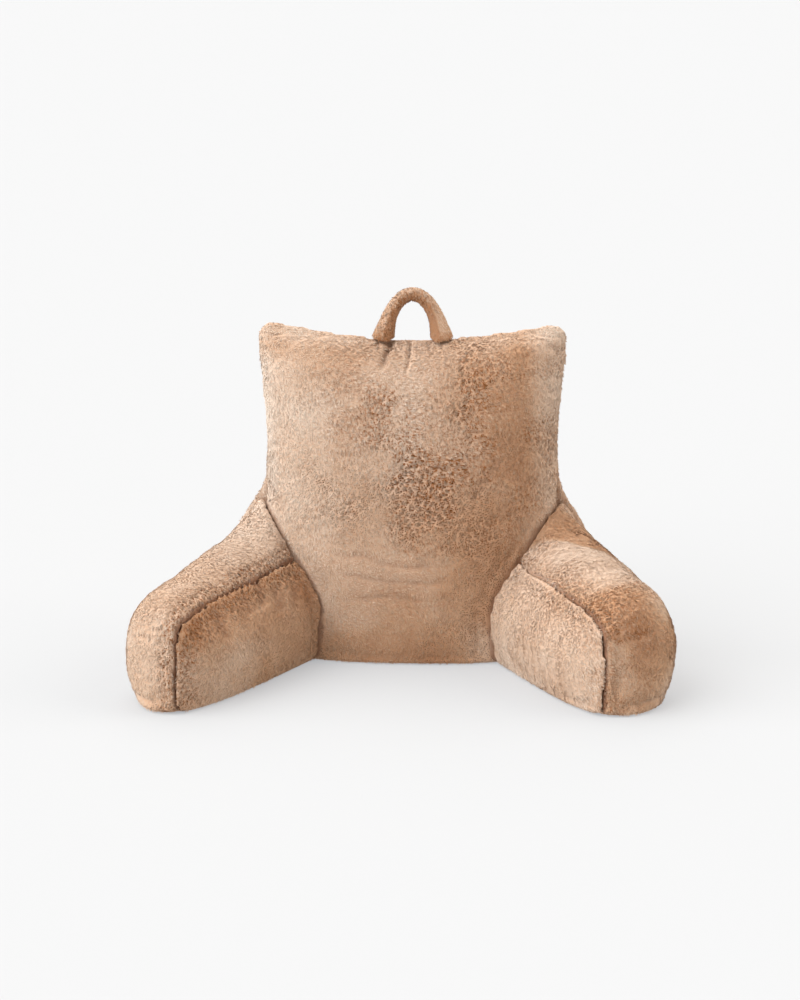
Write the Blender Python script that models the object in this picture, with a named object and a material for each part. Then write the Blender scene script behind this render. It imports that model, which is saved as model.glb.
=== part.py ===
"""Reading pillow with arms: a plush bed rest, firmly filled.

It is sewn from a front and a rear back panel, an inner and an outer panel on each arm, and a padded carrying
loop in the top seam. Each panel is one solid, which holds the filling behind it up to the seam surfaces: the
lengthwise plane between the front and the rear, and an upright plane along each arm. The pillow faces -Y and
stands on z = 0.
"""

import math

import bmesh
import bpy
from mathutils import Vector

NAME = "reading_pillow"

# Driving dimensions, in metres
SEAM_GAP = 0.0003  # clearance between neighbouring panels
LEAN = 0.085  # how far the pillow leans back for each metre of height
RIM = 0.014  # half the height over which a side turns under onto the floor
SINK = 0.030  # how far the unloaded round forms would reach below the floor
TOP_MIDDLE = 0.428  # height of the top seam at its middle
TOP_EAR = 0.464  # height of the top seam at its two ears
TOP_CURVE = 1.9  # how late the top seam rises towards the ears
EAR_ROUND = 0.018  # how far an ear's tip is pulled in
SIDE_FULLNESS = 2.8  # exponents of the crown: higher is flatter in the middle
TOP_FULLNESS = 7.0
ARM_REACH = 0.362  # from the lengthwise seam plane to the nose of an arm
NOSE_START = 0.240  # where an arm starts to round towards its nose
NOSE_FULLNESS = 2.2
NOSE_BLUNTNESS = 0.35  # how much less the nose rounds in height than in width
FOOT_FULLNESS = 0.75  # how late an arm turns under on its outer side: 1 is round
ARM_WIDEST = 0.066  # height at which an arm is widest
SHOULDER_TOP = 0.208  # height at which an arm meets the rear panel's outline
SHOULDER_LENGTH = 0.090  # over which an arm changes from the rear outline to its own section
SHOULDER_STEP = 0.007  # how far the rear panel shows beyond the shoulder of an arm
LOOP_HALF_WIDTH = 0.0387  # centre line of the carrying loop
LOOP_FOOT = 0.408
LOOP_TOP = 0.4899
LOOP_SPREAD = 0.12  # how much wider apart the feet of the loop stand
LOOP_HALF_THICK = 0.0108  # of the loop's strap at the top
LOOP_FOOT_SWELL = 2.1  # the strap's thickness at its feet, as a multiple

# The back at each height: half-widths of the front and rear panels, and their depths from the seam plane
HEIGHT, FRONT_HALF, REAR_HALF, FRONT_DEPTH, REAR_DEPTH = range(5)
BACK = (
    (0.000, 0.205, 0.256, 0.106, 0.066),
    (0.040, 0.206, 0.262, 0.110, 0.070),
    (0.080, 0.206, 0.265, 0.112, 0.073),
    (0.120, 0.205, 0.263, 0.113, 0.075),
    (0.150, 0.204, 0.257, 0.113, 0.076),
    (0.170, 0.204, 0.246, 0.112, 0.076),
    (0.195, 0.203, 0.228, 0.111, 0.075),
    (0.225, 0.203, 0.209, 0.109, 0.074),
    (0.260, 0.203, 0.204, 0.107, 0.073),
    (0.320, 0.206, 0.206, 0.103, 0.071),
    (0.390, 0.215, 0.215, 0.098, 0.068),
    (0.435, 0.225, 0.225, 0.094, 0.065),
    (0.470, 0.228, 0.228, 0.090, 0.062),
)

# The two arms as they lie: from the middle to the root of the upright seam, the turn of that seam, the
# length against ARM_REACH, and the extra height of the ridge
HAND, ROOT, SPLAY, LENGTH, LIFT = range(5)
ARMS = {
    "left": (-1, 0.117, math.radians(25.5), 1.000, 0.000),
    "right": (1, 0.111, math.radians(25.1), 0.945, 0.008),
}

# An arm at each reach from the seam plane: the tops of its upright seam and its ridge, how far out its ridge
# and its outer side lie, and how far its inner side bulges from the upright seam
REACH, SEAM_TOP, RIDGE_TOP, RIDGE_X, OUTER_X, INNER_DEPTH = range(6)
ARM = (
    (0.000, 0.150, 0.200, 0.185, 0.260, 0.049),
    (0.060, 0.146, 0.184, 0.203, 0.291, 0.049),
    (0.150, 0.140, 0.170, 0.238, 0.327, 0.049),
    (0.240, 0.136, 0.161, 0.278, 0.360, 0.047),
    (0.300, 0.134, 0.156, 0.304, 0.372, 0.045),
    (0.362, 0.130, 0.150, 0.330, 0.382, 0.043),
)

# Mesh steps
BACK_COLUMNS = 28
BACK_ROWS = 18
UNDER_ROWS = 5
ARM_STATIONS = 9
NOSE_STATIONS = 8
RISE_STEPS = 4
BROW_STEPS = 6
FOOT_STEPS = 5
LOOP_POINTS = 26

PLUSH = {"color": (0.56, 0.36, 0.24, 1.0), "roughness": 0.92}


def smooth(table, column, place):
    """Reads a column of a table at a place along its first column, on a smooth curve through the rows."""
    place = min(max(place, table[0][0]), table[-1][0])
    i = min(sum(row[0] <= place for row in table[1:]), len(table) - 2)
    rows = [table[max(i - 1, 0)], table[i], table[i + 1], table[min(i + 2, len(table) - 1)]]
    before, start, end, after = [row[column] for row in rows]
    step = rows[2][0] - rows[1][0]
    slope_start = (end - before) / (rows[2][0] - rows[0][0]) * step
    slope_end = (after - start) / (rows[3][0] - rows[1][0]) * step
    t = (place - rows[1][0]) / step
    bend = (1 - t) ** 2 * t * slope_start - (1 - t) * t * t * slope_end
    return (1 - t) ** 2 * (1 + 2 * t) * start + t * t * (3 - 2 * t) * end + bend


def ease(t):
    t = min(max(t, 0.0), 1.0)
    return t * t * (3 - 2 * t)


def quarter(full, power):
    """The height of a rounded quarter arc: 1 at full = 0 and 0 at full = 1."""
    return max(0.0, 1 - abs(full) ** power) ** (1 / power)


def standing(x, y, z):
    """Turns what would sink below the floor into a flat underside with a soft rim, and leans it all back."""
    if z < RIM:
        z = max(z + RIM, 0.0) ** 2 / (4 * RIM)
    return Vector((x, y + LEAN * z, z))


def solid(name, rows, lids, material, collection):
    """A closed solid lofted through rows of points. Each flat lid is a list of (row, place) of its points."""
    bm = bmesh.new()
    grid = [[bm.verts.new(point) for point in row] for row in rows]
    for low, high in zip(grid, grid[1:]):
        for i in range(len(low) - 1):
            bm.faces.new((low[i], low[i + 1], high[i + 1]))
            bm.faces.new((low[i], high[i + 1], high[i]))
    for lid in lids:
        bm.faces.new([grid[row][place] for row, place in lid])
    bmesh.ops.remove_doubles(bm, verts=bm.verts, dist=1e-6)
    floor = [face for face in bm.faces if all(vert.co.z < 1e-7 for vert in face.verts)]
    bmesh.ops.dissolve_faces(bm, faces=floor)
    bmesh.ops.recalc_face_normals(bm, faces=bm.faces)
    if bm.calc_volume(signed=True) < 0:
        bmesh.ops.reverse_faces(bm, faces=bm.faces)
    mesh = bpy.data.meshes.new(name)
    bm.to_mesh(mesh)
    bm.free()
    mesh.materials.append(material)
    mesh.shade_smooth()
    mesh.set_sharp_from_angle(angle=math.radians(50))
    piece = bpy.data.objects.new(name, mesh)
    collection.objects.link(piece)
    return piece


def crown(across, up):
    """How full the back is, from 0 on its perimeter seam to 1 in the middle."""
    side = max(0.0, 1 - abs(across) ** SIDE_FULLNESS) ** 0.5
    top = max(0.0, 1 - up**TOP_FULLNESS) ** 0.5
    return side * top


def back_point(across, up, under, half, depth, side, swell):
    """A point of a back panel: across from -1 to 1, up from the floor at 0 to the top seam at 1, and under
    from the floor at 0 to the bottom seam at 1."""
    pull = EAR_ROUND * (abs(across) * up) ** 10
    top = TOP_MIDDLE + (TOP_EAR - TOP_MIDDLE) * abs(across) ** TOP_CURVE + swell
    height = up * top
    x = across * (smooth(BACK, half, height) + swell - pull)
    full = smooth(BACK, depth, height) * crown(across, up) * math.cos(math.pi / 2 * under)
    y = side * (SEAM_GAP / 2 + full + (swell if full > 1e-9 else -swell))
    return standing(x, y, height - pull - SINK * math.sin(math.pi / 2 * under))


def back_panel(name, half, depth, side, material, collection, swell=0.0):
    """Half of the back cushion on one side of the seam plane, with its flat face in that plane.

    With a swell it is a cutter, whose sides go straight down through the floor.
    """
    levels = [(0.0, 1 - i / UNDER_ROWS, 0.0) for i in range(UNDER_ROWS)]
    if swell:
        levels = [(0.0, 1.0, SINK), (0.0, 0.0, SINK)]
    for i in range(BACK_ROWS + 1):
        rise = i / BACK_ROWS
        levels.append(((rise + 2 * math.sin(math.pi / 2 * rise)) / 3, 0.0, 0.0))
    spread = [math.sin(math.pi / 2 * (2 * i / BACK_COLUMNS - 1)) for i in range(BACK_COLUMNS + 1)]
    rows = []
    for up, under, drop in levels:
        points = [back_point(across, up, under, half, depth, side, swell) for across in spread]
        rows.append([point - Vector((0, 0, drop)) for point in points])
    top, right = len(rows) - 1, BACK_COLUMNS
    lid = [(0, i) for i in range(right)] + [(i, right) for i in range(top)]
    lid += [(top, i) for i in range(right, 0, -1)] + [(i, 0) for i in range(top, 0, -1)]
    return solid(name, rows, [lid], material, collection)


def nose(reach):
    """How wide an arm still is at this reach: 1 along its length and 0 at its tip."""
    return quarter(max(0.0, reach - NOSE_START) / (ARM_REACH - NOSE_START), NOSE_FULLNESS)


def arm_section(reach, arm):
    """The measures of an arm at one reach, narrowed and lowered towards the nose."""
    width = nose(reach)
    height = width**NOSE_BLUNTNESS
    seam = arm[ROOT] + math.tan(arm[SPLAY]) * arm[LENGTH] * reach
    return {
        "seam": seam,
        "seam_top": ARM_WIDEST + (smooth(ARM, SEAM_TOP, reach) - ARM_WIDEST) * height,
        "ridge": seam + (smooth(ARM, RIDGE_X, reach) - seam) * width,
        "ridge_top": ARM_WIDEST + (smooth(ARM, RIDGE_TOP, reach) + arm[LIFT] - ARM_WIDEST) * height,
        "outer": seam + (smooth(ARM, OUTER_X, reach) - seam) * width,
        "inner": seam - smooth(ARM, INNER_DEPTH, reach) * width,
        "under": (ARM_WIDEST + SINK) * height,
    }


def shoulder(height):
    """The outline of an arm's root: inside the rear panel's at the shoulder, flush with it at the floor."""
    return smooth(BACK, REAR_HALF, height) - SHOULDER_STEP * ease(height / ARM_WIDEST - 0.5)


def outer_profile(reach, arm):
    """The outer panel's section: from the seam up over the ridge, down the outer side and under."""
    cut = arm_section(reach, arm)
    seam, seam_top, ridge, ridge_top = (cut[key] for key in ("seam", "seam_top", "ridge", "ridge_top"))
    bulge = cut["outer"] - ridge
    root, free = [], []
    for i in range(RISE_STEPS):
        across = i / RISE_STEPS
        up = 1 - (1 - across) ** 2
        x = seam + (shoulder(SHOULDER_TOP) - seam) * across
        root.append((x, seam_top + (SHOULDER_TOP - seam_top) * up))
        free.append((seam + (ridge - seam) * across, seam_top + (ridge_top - seam_top) * up))
    for i in range(BROW_STEPS + 1):
        over, up = math.sin(math.pi / 2 * i / BROW_STEPS), math.cos(math.pi / 2 * i / BROW_STEPS)
        height = ARM_WIDEST + (SHOULDER_TOP - ARM_WIDEST) * up
        root.append((shoulder(height), height))
        free.append((ridge + bulge * over, ARM_WIDEST + (ridge_top - ARM_WIDEST) * up))
    for i in range(1, FOOT_STEPS + 1):
        under, out = math.sin(math.pi / 2 * i / FOOT_STEPS), math.cos(math.pi / 2 * i / FOOT_STEPS)
        height = ARM_WIDEST - (ARM_WIDEST + SINK) * under
        edge = shoulder(height) if height > -RIM else seam + (shoulder(0.0) - seam) * out**0.5
        root.append((edge, height))
        free.append((ridge + bulge * out**FOOT_FULLNESS, ARM_WIDEST - cut["under"] * under))
    root.append((seam, -SINK))
    free.append((seam, ARM_WIDEST - cut["under"]))
    own = ease(reach / SHOULDER_LENGTH)
    return [tuple(a + (b - a) * own for a, b in zip(start, end)) for start, end in zip(root, free)]


def inner_profile(reach, arm):
    """The inner panel's section: from the seam down the inner side and under."""
    cut = arm_section(reach, arm)
    points = []
    for i in range(BROW_STEPS + 1):
        t = i / BROW_STEPS
        x = cut["seam"] + (cut["inner"] - cut["seam"]) * (1 - (1 - t) ** 2)
        points.append((x, cut["seam_top"] + (ARM_WIDEST - cut["seam_top"]) * t))
    for i in range(1, FOOT_STEPS + 1):
        under, out = math.sin(math.pi / 2 * i / FOOT_STEPS), math.cos(math.pi / 2 * i / FOOT_STEPS)
        points.append((cut["seam"] + (cut["inner"] - cut["seam"]) * out, ARM_WIDEST - cut["under"] * under))
    return points


def arm_panel(name, profile, arm, away, material, collection):
    """Half of an arm on a side of its upright seam plane: away is 1 for the outer half, -1 for the inner."""
    reaches = [NOSE_START * i / ARM_STATIONS for i in range(ARM_STATIONS)]
    for i in range(NOSE_STATIONS + 1):
        turn = math.pi / 2 * i / NOSE_STATIONS
        reaches.append(NOSE_START + (ARM_REACH - NOSE_START) * math.sin(turn))
    rows = []
    for reach in reaches:
        points = [(x + away * SEAM_GAP / 2, z) for x, z in profile(reach, arm)]
        rows.append([standing(arm[HAND] * x, -SEAM_GAP / 2 - arm[LENGTH] * reach, z) for x, z in points])
    last, end = len(rows) - 1, len(rows[0]) - 1
    root = [(0, i) for i in range(end + 1)]
    seam = [(i, 0) for i in range(last + 1)] + [(i, end) for i in range(last, -1, -1)]
    return solid(name, rows, [root, seam], material, collection)


def carrying_loop(name, material, collection):
    """The padded strap: a soft tube along an arch that stands on the top seam, stouter towards its feet."""
    curve = bpy.data.curves.new(name, "CURVE")
    curve.dimensions = "3D"
    curve.bevel_depth = LOOP_HALF_THICK
    curve.bevel_resolution = 4
    curve.use_fill_caps = True
    spline = curve.splines.new("POLY")
    spline.points.add(LOOP_POINTS - 1)
    for i, point in enumerate(spline.points):
        turn = math.pi * i / (LOOP_POINTS - 1)
        half = LOOP_HALF_WIDTH * (1 + LOOP_SPREAD * (1 - math.sin(turn)) ** 3)
        x = -half * math.copysign(abs(math.cos(turn)) ** 1.05, math.cos(turn))
        z = LOOP_FOOT + (LOOP_TOP - LOOP_FOOT) * math.sin(turn) ** 0.85
        point.co = (x, LEAN * z, z, 1)
        point.radius = 1 + (LOOP_FOOT_SWELL - 1) * (1 - math.sin(turn)) ** 2.5
    route = bpy.data.objects.new(name + "_route", curve)
    collection.objects.link(route)
    evaluated = route.evaluated_get(bpy.context.evaluated_depsgraph_get())
    mesh = bpy.data.meshes.new_from_object(evaluated)
    bpy.data.objects.remove(route)
    bm = bmesh.new()
    bm.from_mesh(mesh)
    bmesh.ops.remove_doubles(bm, verts=bm.verts, dist=1e-6)
    bmesh.ops.recalc_face_normals(bm, faces=bm.faces)
    bm.to_mesh(mesh)
    bm.free()
    mesh.name = name
    mesh.materials.clear()
    mesh.materials.append(material)
    mesh.shade_smooth()
    mesh.set_sharp_from_angle(angle=math.radians(50))
    loop = bpy.data.objects.new(name, mesh)
    collection.objects.link(loop)
    return loop


def trim(piece, cutters):
    """Cuts a piece back to its clearance from the panels that it is sewn to."""
    for cutter in cutters:
        cut = piece.modifiers.new("clear_of_" + cutter.name, "BOOLEAN")
        cut.operation = "DIFFERENCE"
        cut.object = cutter


def plush(name):
    material = bpy.data.materials.new(name)
    material.use_nodes = True
    shader = material.node_tree.nodes["Principled BSDF"]
    shader.inputs["Base Color"].default_value = PLUSH["color"]
    shader.inputs["Roughness"].default_value = PLUSH["roughness"]
    shader.inputs["Metallic"].default_value = 0.0
    return material


def new_collection(name):
    collection = bpy.data.collections.new(name)
    bpy.context.scene.collection.children.link(collection)
    return collection


def centre_on_footprint(pieces):
    """Hangs the pieces on an empty and moves it so that the origin is under the middle of their box."""
    graph = bpy.context.evaluated_depsgraph_get()
    corners = [Vector(corner) for piece in pieces for corner in piece.evaluated_get(graph).bound_box]
    stand = bpy.data.objects.new(NAME, None)
    pieces[0].users_collection[0].objects.link(stand)
    for piece in pieces:
        piece.parent = stand
    for axis in (0, 1):
        sides = [corner[axis] for corner in corners]
        stand.location[axis] = -(min(sides) + max(sides)) / 2
    return stand


def main():
    for item in list(bpy.data.objects):
        bpy.data.objects.remove(item)
    parts = new_collection(NAME)
    helpers = new_collection("cutters")
    material = plush("plush")
    front = (FRONT_HALF, FRONT_DEPTH, -1)
    rear = (REAR_HALF, REAR_DEPTH, 1)
    pieces = [
        back_panel("back_front", *front, material, parts),
        back_panel("back_rear", *rear, material, parts),
    ]
    cutters = [
        back_panel("front_clearance", *front, material, helpers, swell=SEAM_GAP),
        back_panel("rear_clearance", *rear, material, helpers, swell=SEAM_GAP),
    ]
    for cutter in cutters:
        cutter.hide_render = True
        cutter.display_type = "WIRE"
    for side, arm in ARMS.items():
        for place, profile, away in (("inner", inner_profile, -1), ("outer", outer_profile, 1)):
            panel = arm_panel(f"arm_{side}_{place}", profile, arm, away, material, parts)
            trim(panel, cutters[:1])
            pieces.append(panel)
    loop = carrying_loop("handle", material, parts)
    trim(loop, cutters)
    pieces.append(loop)
    stand = centre_on_footprint(pieces)
    for cutter in cutters:
        cutter.parent = stand


main()
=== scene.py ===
"""Looks of the reading pillow with arms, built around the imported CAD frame."""

import itertools
import math

import bmesh
import bpy
import numpy as np
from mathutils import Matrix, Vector
from mathutils.bvhtree import BVHTree
from mathutils.kdtree import KDTree


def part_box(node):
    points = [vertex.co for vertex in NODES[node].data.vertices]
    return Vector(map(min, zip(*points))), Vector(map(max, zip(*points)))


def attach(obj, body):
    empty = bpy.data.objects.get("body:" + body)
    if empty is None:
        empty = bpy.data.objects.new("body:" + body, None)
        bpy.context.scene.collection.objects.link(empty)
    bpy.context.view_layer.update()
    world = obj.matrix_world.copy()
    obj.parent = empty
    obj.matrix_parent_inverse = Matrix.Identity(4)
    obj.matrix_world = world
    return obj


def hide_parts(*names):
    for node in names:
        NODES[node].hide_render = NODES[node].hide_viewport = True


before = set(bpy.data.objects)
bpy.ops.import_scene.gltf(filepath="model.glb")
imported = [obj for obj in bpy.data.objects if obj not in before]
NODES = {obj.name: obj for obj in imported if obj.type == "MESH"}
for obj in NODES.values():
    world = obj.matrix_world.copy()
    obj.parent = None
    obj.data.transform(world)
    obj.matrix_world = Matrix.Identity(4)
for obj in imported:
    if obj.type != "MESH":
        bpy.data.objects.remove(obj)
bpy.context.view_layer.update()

# ---------------------------------------------------------------- camera, floor and light

# degrees and metres; azimuth 0 is the front
VIEW_AZIMUTH = 3.2
VIEW_ELEVATION = 13.0
VIEW_DISTANCE = 4.3
VIEW_AIM = (-0.0078, 0.0, 0.238)
LENS = 115.3
# soft suns: azimuth, elevation, angle across, strength and colour
SUNS = {
    "key": (-62.0, 37.0, 75.0, 3.5, (1.0, 1.0, 1.0)),
    "back": (-165.0, 50.0, 55.0, 1.2, (1.0, 1.0, 1.0)),
    "rim": (101.0, 30.0, 60.0, 1.5, (1.0, 0.93, 0.85)),
}
SKY = (0.58, 0.53, 0.48)  # a little warm, as what a cream room reflects
# paper that glows a little, so that it is as pale as the backdrop and its shadows stay light
FLOOR_GREY = 0.32
FLOOR_GLOW = (0.374, 0.396, 0.418)
FLOOR_REACH = 30.0
SUN_DISTANCE = 3.0
SUN_AIM = (0.0, 0.0, 0.2)


def around(azimuth, elevation, distance, aim):
    azimuth, elevation = math.radians(azimuth), math.radians(elevation)
    flat = math.cos(elevation)
    return Vector(aim) + distance * Vector(
        (math.sin(azimuth) * flat, -math.cos(azimuth) * flat, math.sin(elevation))
    )


def look_at(thing, azimuth, elevation, distance, aim):
    thing.location = around(azimuth, elevation, distance, aim)
    thing.rotation_euler = (thing.location - Vector(aim)).to_track_quat("Z", "Y").to_euler()


def add(thing):
    bpy.context.scene.collection.objects.link(thing)
    return thing


camera = add(bpy.data.objects.new("camera", bpy.data.cameras.new("camera")))
camera.data.sensor_width = 36.0
camera.data.lens = LENS
camera.data.clip_end = 50.0
look_at(camera, VIEW_AZIMUTH, VIEW_ELEVATION, VIEW_DISTANCE, VIEW_AIM)
bpy.context.scene.camera = camera

for name, (azimuth, elevation, angle, strength, colour) in SUNS.items():
    sun = bpy.data.lights.new(name, "SUN")
    sun.energy = strength
    sun.angle = math.radians(angle)
    sun.color = colour
    look_at(add(bpy.data.objects.new(name, sun)), azimuth, elevation, SUN_DISTANCE, SUN_AIM)

world = bpy.data.worlds.new("studio")
bpy.context.scene.world = world
world.use_nodes = True
sky = world.node_tree.nodes["Background"].inputs
sky["Color"].default_value = SKY + (1,)
sky["Strength"].default_value = 1.0
bpy.context.scene.view_settings.view_transform = "Standard"

floor_mesh = bpy.data.meshes.new("floor")
corners = [(x * FLOOR_REACH, y * FLOOR_REACH, 0) for x, y in ((-1, -1), (1, -1), (1, 1), (-1, 1))]
floor_mesh.from_pydata(corners, [], [(0, 1, 2, 3)])
floor = add(bpy.data.objects.new("floor", floor_mesh))
paper = bpy.data.materials.new("paper")
paper.use_nodes = True
sheet = paper.node_tree.nodes["Principled BSDF"].inputs
sheet["Base Color"].default_value = (FLOOR_GREY,) * 3 + (1,)
sheet["Roughness"].default_value = 1.0
sheet["Specular IOR Level"].default_value = 0.0
sheet["Emission Color"].default_value = FLOOR_GLOW + (1,)
sheet["Emission Strength"].default_value = 1.0
floor_mesh.materials.append(paper)

# ---------------------------------------------------------------- numbers over points


def lattice(cells, seed):
    """A repeatable number from 0 to 1 for each whole-numbered cell."""
    x, y, z = (cells[:, k].astype(np.uint64) for k in range(3))
    mixed = (x * np.uint64(73856093)) ^ (y * np.uint64(19349663)) ^ (z * np.uint64(83492791))
    mixed = (mixed ^ np.uint64(seed * 7919 + 97)) * np.uint64(2654435761)
    mixed = (mixed ^ (mixed >> np.uint64(15))) * np.uint64(2246822519)
    mixed = mixed ^ (mixed >> np.uint64(13))
    return (mixed & np.uint64(0xFFFFFF)).astype(float) / 0xFFFFFF


def noise(points, size, seed):
    """Smooth noise from -1 to 1, with features about size across."""
    place = points / np.array(size) + 1000.0
    cell = np.floor(place).astype(np.int64)
    t = place - cell
    t = t * t * t * (t * (t * 6 - 15) + 10)
    total = np.zeros(len(points))
    for corner in itertools.product((0, 1), repeat=3):
        weight = np.prod([t[:, k] if up else 1 - t[:, k] for k, up in enumerate(corner)], axis=0)
        total += weight * lattice(cell + np.array(corner), seed)
    return total * 2 - 1


def lumps(points, size, seed):
    """Rounded lumps about size across: 1 in the middle of each, 0 in the creases between."""
    place = points / size + 1000.0
    cell = np.floor(place).astype(np.int64)
    nearest = np.full(len(points), 9.0)
    for beside in itertools.product((-1, 0, 1), repeat=3):
        near = cell + np.array(beside)
        middle = near + np.stack([lattice(near, seed + k) for k in range(3)], axis=1)
        nearest = np.minimum(nearest, np.sum((place - middle) ** 2, axis=1))
    return 1 - np.minimum(nearest / 0.75, 1.0)


# the ways in which strokes run, and how large the patches of one way are
STROKES = ((1.0, 0.0, 0.12), (0.64, 0.3, 0.7), (-0.64, 0.3, 0.7), (0.1, 0.35, 0.93))
STROKE_PATCH = 0.05


def strokes(points, wide, long, seed):
    """Noise drawn out into short strokes, whose way changes from patch to patch."""
    total, weights = np.zeros(len(points)), np.zeros(len(points))
    for k, way in enumerate(STROKES):
        way = np.array(way) / np.linalg.norm(way)
        along = points @ way
        drawn = points - along[:, None] * way * (1 - wide / long)
        weight = np.exp(5 * noise(points, STROKE_PATCH, seed + 10 * k + 1))
        total += weight * noise(drawn, wide, seed + 10 * k)
        weights += weight
    return total / weights


def unit(vectors):
    return vectors / np.maximum(np.linalg.norm(vectors, axis=1, keepdims=True), 1e-9)


def ease(t):
    """A soft step from 0 to 1."""
    t = np.clip(t, 0.0, 1.0)
    return t * t * (3 - 2 * t)


def step(values, none, full):
    """A soft step from 0 at one value to 1 at another, which may be the lower one."""
    return ease((values - none) / (full - none))


def hump(values, middle, width):
    """1 at a value, falling off softly over a width on both its sides."""
    return np.exp(-(((values - middle) / width) ** 2))


def places(mesh):
    co = np.empty(len(mesh.vertices) * 3, np.float32)
    mesh.vertices.foreach_get("co", co)
    return co.reshape(-1, 3).astype(float)


def normals(mesh):
    out = np.empty(len(mesh.vertices) * 3, np.float32)
    mesh.vertex_normals.foreach_get("vector", out)
    return out.reshape(-1, 3).astype(float)


def set_places(mesh, co):
    mesh.vertices.foreach_set("co", co.astype(np.float32).ravel())
    mesh.update()


def get_field(mesh, name):
    values = np.empty(len(mesh.vertices), np.float32)
    mesh.attributes[name].data.foreach_get("value", values)
    return values.astype(float)


def set_field(mesh, name, values):
    field = mesh.attributes.new(name, "FLOAT", "POINT")
    field.data.foreach_set("value", values.astype(np.float32))


def tree_of(name):
    mesh = NODES[name].data
    return BVHTree.FromPolygons([v.co for v in mesh.vertices], [tuple(p.vertices) for p in mesh.polygons])


TREES = {name: tree_of(name) for name in NODES}
NEAR = 0.06  # no seam is looked for further away than this


def distance_to(name, co):
    """How far each point is from a CAD node, up to NEAR."""
    low, high = (np.array(corner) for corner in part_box(name))
    apart = np.linalg.norm(np.maximum(np.maximum(low - co, co - high), 0), axis=1)
    found = np.full(len(co), NEAR)
    for i in np.nonzero(apart < NEAR)[0]:
        far = TREES[name].find_nearest(co[i], NEAR)[3]
        found[i] = NEAR if far is None else far
    return found


# ---------------------------------------------------------------- covers

ARMS = ("arm_left_inner", "arm_left_outer", "arm_right_inner", "arm_right_outer")
NEIGHBOURS = {
    "back_front": ("back_rear",) + ARMS,
    "back_rear": ("back_front",) + ARMS,
    "arm_left_inner": ("arm_left_outer", "back_front", "back_rear"),
    "arm_left_outer": ("arm_left_inner", "back_front", "back_rear"),
    "arm_right_inner": ("arm_right_outer", "back_front", "back_rear"),
    "arm_right_outer": ("arm_right_inner", "back_front", "back_rear"),
    "handle": ("back_front", "back_rear"),
}
SPLAY = math.radians(25.3)  # how far the arms turn outwards
# square across the upright seam of an arm on the right, and across the seam around the back
SEAM_PLANES = {"arm": (math.cos(SPLAY), math.sin(SPLAY), 0.0), "edge": (0.0, 0.9964, -0.0847)}
PAD_VOXEL = 0.0056
LOOP_VOXEL = 0.003
WELD = 1e-5
IN_SEAM = 0.0012  # closer than this to a neighbour, a point lies in the seam
LIP = 0.007  # how far down into a seam the pile grows
ROLL = 0.020  # how far down into a seam a panel's side is drawn in with its rim
FREE_FROM = 0.022  # at this distance from the seams, the cover is quite free to swell
INSET = 0.0075  # drawn in before it swells, so that the tips of the pile reach the CAD's surface
LOOP_INSET = 0.0012
SEAM_BLEND = 0.008  # over which the insets beside two kinds of seam run into each other
HELD_FLAT = (0.001, 0.008)  # how near a seam a rim stays in the seam's plane, and over what it comes free
SEAM_SHRINK = 0.0002  # drawn in down in a seam, so that two covers never meet there
LIP_REACH = 0.012  # how far from a seam its lip is rounded
LIP_ROUNDS = 3
CAP = 0.006  # how far swelling may move a point
CAP_SOFTNESS = 1.4
PRESSURE = 4.0
SIM_FRAMES = 20
THREAD_MASS = 0.001
THREAD_STIFFNESS = 0.03
BEND_STIFFNESS = 0.01
PIN_STEPS = 10
# each kind of seam: how deep its groove is, how far it reaches, how much its lips are rounded, how dark its
# painted shade is, and how much of INSET is left beside it
DEPTH, REACH, ROUNDED, SHADE, LEFT_BESIDE = range(5)
GROOVES = {
    "arm": (0.0022, 0.0045, 0.3, 0.95, 0.12),
    "root": (0.0010, 0.0035, 0.15, 0.85, 0.1),
    "shoulder": (0.0008, 0.006, 0.3, 0.35, 0.15),
    "edge": (0.0, 0.006, 0.2, 0.05, 0.12),
    "loop": (0.0, 0.004, 0.0, 0.5, 0.3),
}


def twin(name):
    """The other panel of an arm."""
    return name.replace("inner", "outer") if "inner" in name else name.replace("outer", "inner")


def seam_kind(name, other):
    pair = (name, other)
    if "handle" in pair:
        return "loop"
    if all(one in ARMS for one in pair):
        return "arm"
    if not any(one in ARMS for one in pair):
        return "edge"
    return "root" if "back_front" in pair else "shoulder"


def off_floor(co):
    """0 on the floor and 1 a little above it."""
    return ease((co[:, 2] - 0.001) / 0.012)


def applied(piece):
    """Bakes the modifiers of a piece into its mesh."""
    made = bpy.data.meshes.new_from_object(piece.evaluated_get(bpy.context.evaluated_depsgraph_get()))
    old = piece.data
    piece.modifiers.clear()
    piece.data = made
    bpy.data.meshes.remove(old)
    made.name = piece.name
    return made


def eased(mesh, co, weight, rounds):
    """Moves each point towards the mean of its neighbours, as far as its weight says."""
    ends = np.empty(len(mesh.edges) * 2, np.int32)
    mesh.edges.foreach_get("vertices", ends)
    a, b = ends[0::2], ends[1::2]
    count = np.bincount(ends, minlength=len(co))[:, None]
    for _ in range(rounds):
        mean = np.stack(
            [
                np.bincount(a, co[b, k], minlength=len(co)) + np.bincount(b, co[a, k], minlength=len(co))
                for k in range(3)
            ],
            axis=1,
        )
        co = co + (mean / count - co) * weight[:, None]
    return co


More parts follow.
